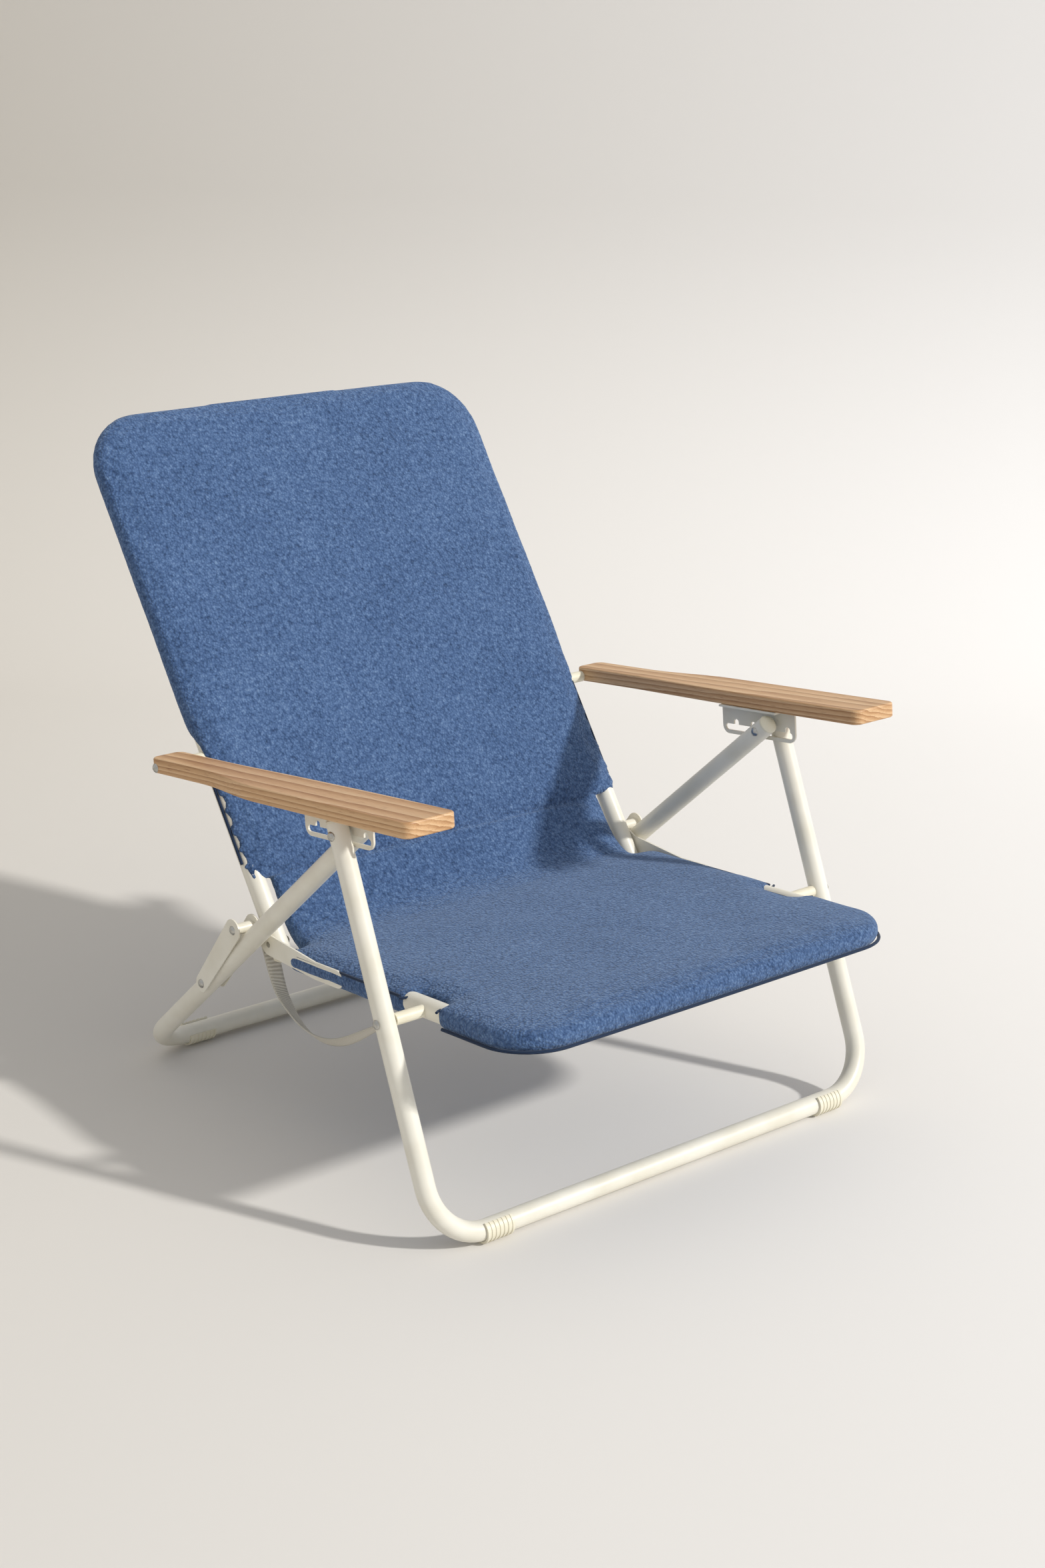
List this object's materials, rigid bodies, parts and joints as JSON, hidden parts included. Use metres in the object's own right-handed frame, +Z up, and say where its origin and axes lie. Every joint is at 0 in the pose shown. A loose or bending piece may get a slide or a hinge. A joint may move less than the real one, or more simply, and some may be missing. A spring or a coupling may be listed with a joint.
{
  "type": "folding beach chair",
  "caption": "Low folding beach chair with padded terry seat and back on bent tubes, wooden armrests and a notched plate that sets the back's angle.",
  "frame": {"origin": "middle of the chair's footprint on the floor, at the centre of its box", "axes": "+Z up, +Y towards the back of the chair, +X across it"},
  "size_m": [0.6284, 0.7322, 0.6685],
  "materials": {
    "frame_tube": "satin ivory powder coat",
    "plate_steel": "satin ivory powder coat",
    "rivet_steel": "zinc plated",
    "cap_plastic": "moulded ivory",
    "spacer_plastic": "moulded ivory",
    "arm_wood": "oiled beech",
    "webbing": "undyed cotton webbing",
    "cover_fabric": "heathered blue terry cloth"
  },
  "bodies": {
    "seat": {"bracket_rivets_left": "rivet_steel", "bracket_rivets_right": "rivet_steel", "carry_strap": "webbing", "seat_bracket_left": "plate_steel", "seat_bracket_right": "plate_steel", "seat_cover": "cover_fabric", "seat_frame": "frame_tube", "seat_pivot_rivet_left": "rivet_steel", "seat_pivot_rivet_right": "rivet_steel", "seat_spacer_left": "spacer_plastic", "seat_spacer_right": "spacer_plastic", "seat_tube_plug_left": "cap_plastic", "seat_tube_plug_right": "cap_plastic"},
    "back_hinge": {"back_hinge_rivet_left": "rivet_steel", "back_hinge_rivet_right": "rivet_steel"},
    "back": {"arm_spacer_left": "spacer_plastic", "arm_spacer_right": "spacer_plastic", "back_cover": "cover_fabric", "back_frame": "frame_tube", "back_tube_plug_left": "cap_plastic", "back_tube_plug_right": "cap_plastic"},
    "arm_hinge": {"arm_rivet_left": "rivet_steel", "arm_rivet_right": "rivet_steel"},
    "arms": {"armrest_left": "arm_wood", "armrest_right": "arm_wood", "latch_plate_left": "plate_steel", "latch_plate_right": "plate_steel", "latch_screws_left": "rivet_steel", "latch_screws_right": "rivet_steel"},
    "front_legs": {"front_foot_clip_left": "cap_plastic", "front_foot_clip_right": "cap_plastic", "front_leg_frame": "frame_tube", "front_leg_plug_left": "cap_plastic", "front_leg_plug_right": "cap_plastic", "latch_rivet_outer_left": "rivet_steel", "latch_rivet_outer_right": "rivet_steel"},
    "rear_legs": {"latch_rivet_inner_left": "rivet_steel", "latch_rivet_inner_right": "rivet_steel", "link_foot_rivet_left": "rivet_steel", "link_foot_rivet_right": "rivet_steel", "rear_foot_clip_left": "cap_plastic", "rear_foot_clip_right": "cap_plastic", "rear_leg_cap_left": "cap_plastic", "rear_leg_cap_right": "cap_plastic", "rear_leg_frame": "frame_tube"},
    "links": {"link_barrel_left": "plate_steel", "link_barrel_right": "plate_steel", "link_ear_rivet_left": "rivet_steel", "link_ear_rivet_right": "rivet_steel", "link_inner_plate_left": "plate_steel", "link_inner_plate_right": "plate_steel", "link_outer_plate_left": "plate_steel", "link_outer_plate_right": "plate_steel"}
  },
  "joints": [
    {"name": "fold", "type": "hinge", "parent": "seat", "child": "back_hinge", "pos_m": [0, 0.0243, 0.193], "axis": [1, 0, 0], "range_deg": [0, 92.8], "deforming": ["carry_strap"]},
    {"name": "recline", "type": "hinge", "parent": "back_hinge", "child": "back", "pos_m": [0, 0.0243, 0.193], "axis": [1, 0, 0], "range_deg": [-8.8, 16.2]},
    {"name": "arm_swing", "type": "hinge", "parent": "back", "child": "arm_hinge", "pos_m": [0, 0.13987, 0.35623], "axis": [1, 0, 0], "range_deg": [-98.66, 0]},
    {"name": "arm_level", "type": "hinge", "parent": "arm_hinge", "child": "arms", "pos_m": [0, 0.13987, 0.35623], "axis": [1, 0, 0], "range_deg": [-11.64, 6.6]},
    {"name": "front_legs_swing", "type": "hinge", "parent": "seat", "child": "front_legs", "pos_m": [0, -0.21729, 0.20552], "axis": [1, 0, 0], "range_deg": [0, 98.2]},
    {"name": "rear_legs_swing", "type": "hinge", "parent": "front_legs", "child": "rear_legs", "pos_m": [0, -0.1467, 0.367], "axis": [1, 0, 0], "range_deg": [-64.4, 0]},
    {"name": "links_swing", "type": "hinge", "parent": "rear_legs", "child": "links", "pos_m": [0, 0.10601, 0.12993], "axis": [1, 0, 0], "range_deg": [-155.1, 0]}
  ],
  "couplings": [
    {"joint": "arm_swing", "follows": "fold", "ratio": -1.061},
    {"joint": "arm_level", "follows": "recline", "ratio": -0.7},
    {"joint": "front_legs_swing", "follows": "fold", "ratio": 1.056},
    {"joint": "rear_legs_swing", "follows": "fold", "ratio": -0.69151},
    {"joint": "links_swing", "follows": "fold", "ratio": -1.6692}
  ]
}
